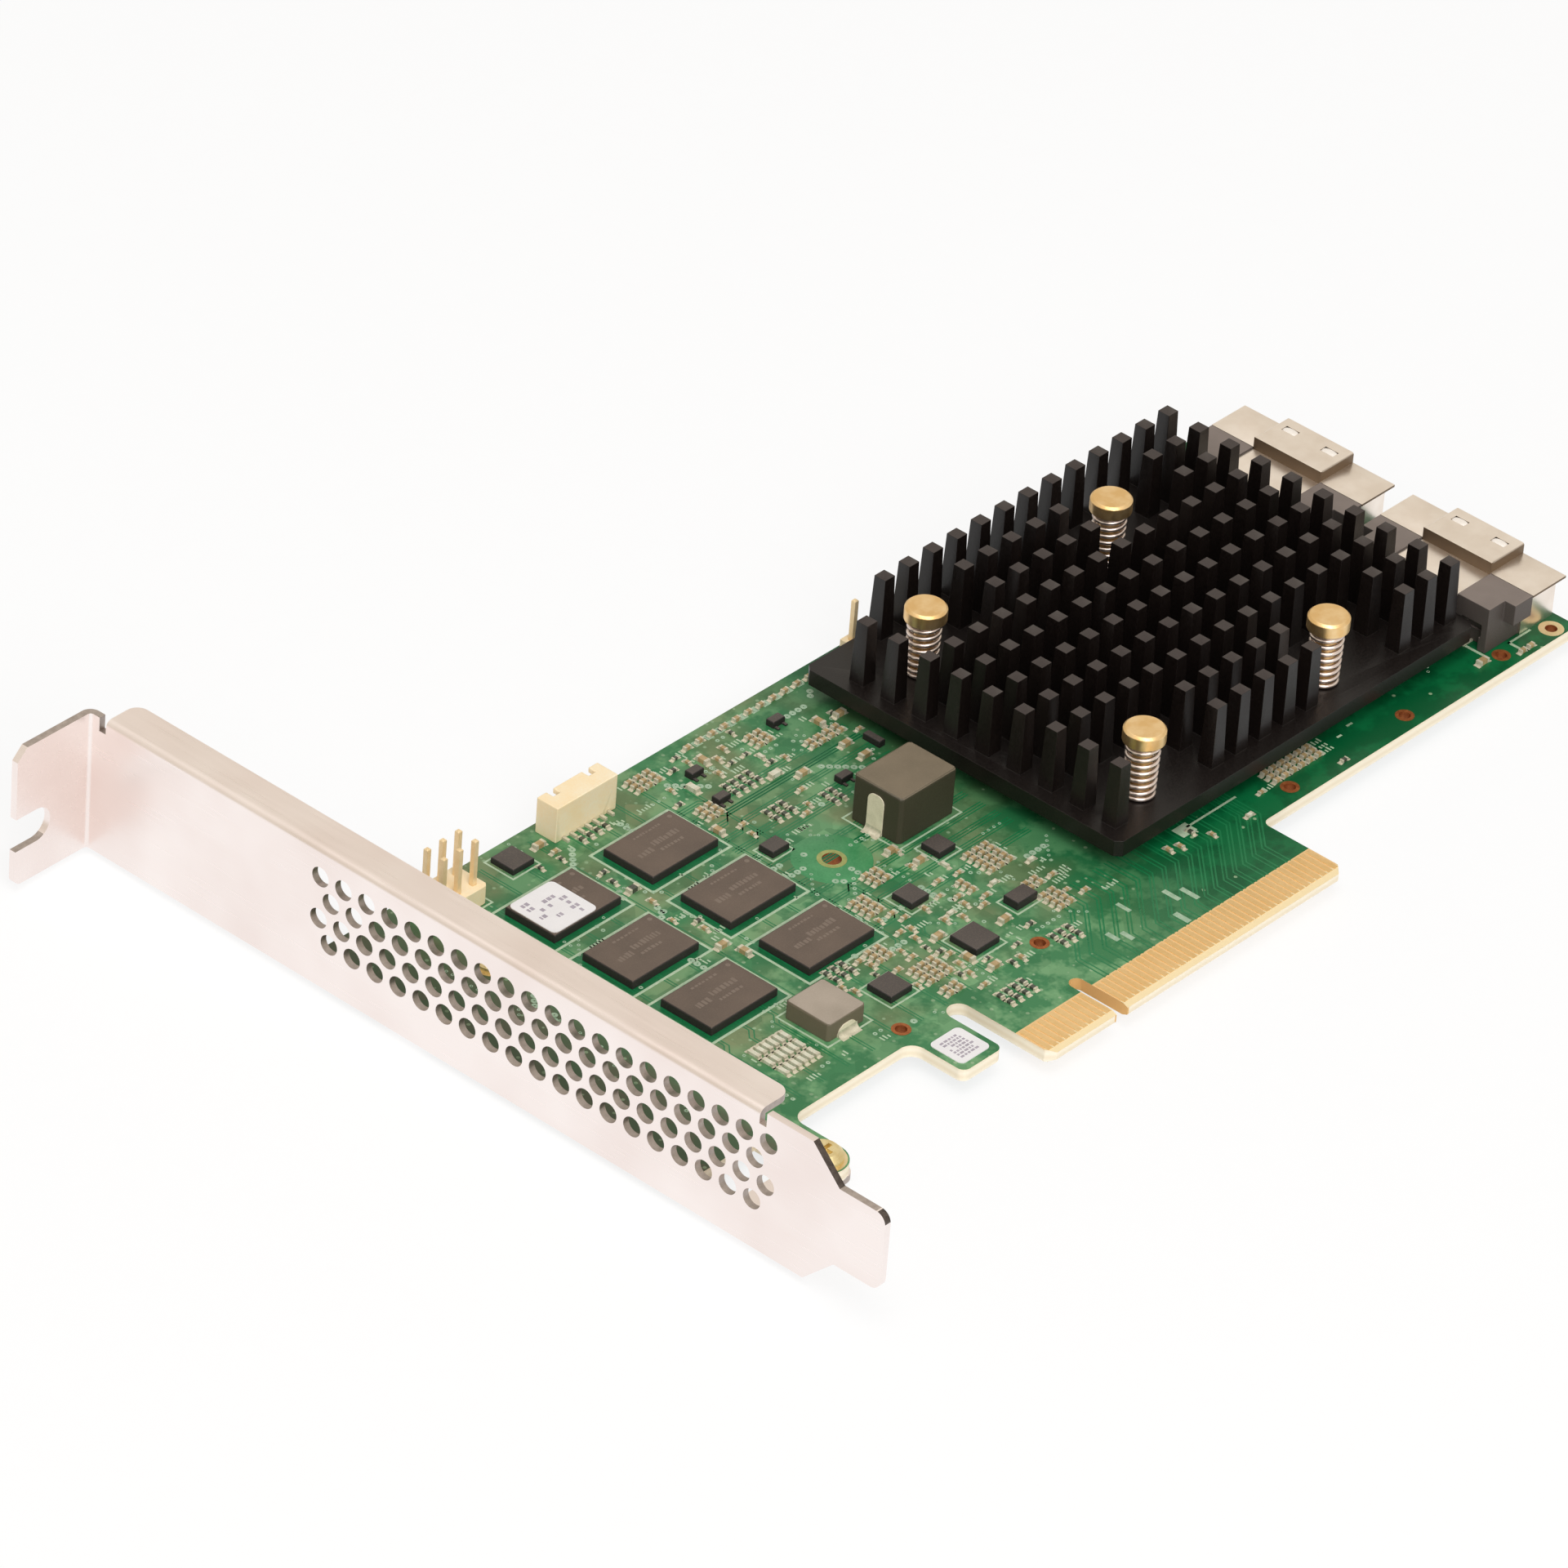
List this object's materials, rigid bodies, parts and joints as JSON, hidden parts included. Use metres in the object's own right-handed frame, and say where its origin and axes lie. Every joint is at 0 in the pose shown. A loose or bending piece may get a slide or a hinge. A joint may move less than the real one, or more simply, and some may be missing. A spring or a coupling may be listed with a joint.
{
  "type": "raid controller card",
  "caption": "Storage controller circuit card with a pin-grid heatsink, right-angle cable sockets, a gold slot edge and a vented full-height slot bracket.",
  "frame": {"origin": "middle of the key notch at the slot edge, on the component-side face of the board", "axes": "+X from the slot bracket to the cable end, +Y from the slot edge to the top edge, +Z out of the component side"},
  "size_m": [0.1686, 0.12, 0.0194],
  "materials": {
    "solder_mask": "satin green mask over woven glass board",
    "gold_plate": "hard gold plate",
    "nickel_sheet": "bright nickel-plated sheet",
    "yellow_zinc": "pale gold plate",
    "black_anodised": "matt black anodised casting",
    "chip_substrate": "laminate with mask",
    "chip_lid": "nickel-plated lid",
    "thermal_compound": "soft pad",
    "push_pin_brass": "turned brass",
    "spring_steel": "spring wire",
    "chip_mould": "moulded epoxy, matt",
    "paper_label": "coated paper",
    "socket_mould": "black moulding",
    "socket_shell": "warm nickel-plated shell",
    "tinned_metal": "matt tin plate",
    "choke_core": "pressed iron powder, painted",
    "coil_core": "light grey moulding",
    "ivory_mould": "ivory moulding",
    "tan_ceramic": "sintered ceramic",
    "resistor_ceramic": "glazed ceramic"
  },
  "bodies": {
    "root": {"circuit_board": "solder_mask", "edge_contacts_front": "gold_plate", "edge_contacts_back": "gold_plate", "bracket": "nickel_sheet", "bracket_screw_lower": "yellow_zinc", "bracket_screw_upper": "yellow_zinc", "heatsink": "black_anodised", "controller_substrate": "chip_substrate", "controller_lid": "chip_lid", "thermal_pad": "thermal_compound", "push_pin_1": "push_pin_brass", "pin_spring_1": "spring_steel", "push_pin_2": "push_pin_brass", "pin_spring_2": "spring_steel", "push_pin_3": "push_pin_brass", "pin_spring_3": "spring_steel", "push_pin_4": "push_pin_brass", "pin_spring_4": "spring_steel", "memory_chip_1": "chip_mould", "memory_chip_2": "chip_mould", "memory_chip_3": "chip_mould", "memory_chip_4": "chip_mould", "memory_chip_5": "chip_mould", "memory_chip_6": "chip_mould", "memory_label": "paper_label", "board_label": "paper_label", "socket_1_housing": "socket_mould", "socket_1_shell": "socket_shell", "socket_1_tails": "tinned_metal", "socket_2_housing": "socket_mould", "socket_2_shell": "socket_shell", "socket_2_tails": "tinned_metal", "choke_body": "choke_core", "choke_legs": "tinned_metal", "coil_body": "coil_core", "coil_legs": "tinned_metal", "regulator_chip_1": "chip_mould", "regulator_chip_2": "chip_mould", "flash_chip": "chip_mould", "clock_chip": "chip_mould", "corner_chip": "chip_mould", "load_switch_chip": "chip_mould", "sensor_chip": "chip_mould", "protection_diode": "chip_mould", "transistors": "chip_mould", "backup_connector_housing": "ivory_mould", "backup_connector_pins": "gold_plate", "service_header_base": "ivory_mould", "service_header_pins": "gold_plate", "test_pin_base": "ivory_mould", "test_pin": "gold_plate", "chip_capacitors": "tan_ceramic", "chip_resistors": "resistor_ceramic", "resistor_arrays": "resistor_ceramic"}
  },
  "joints": []
}
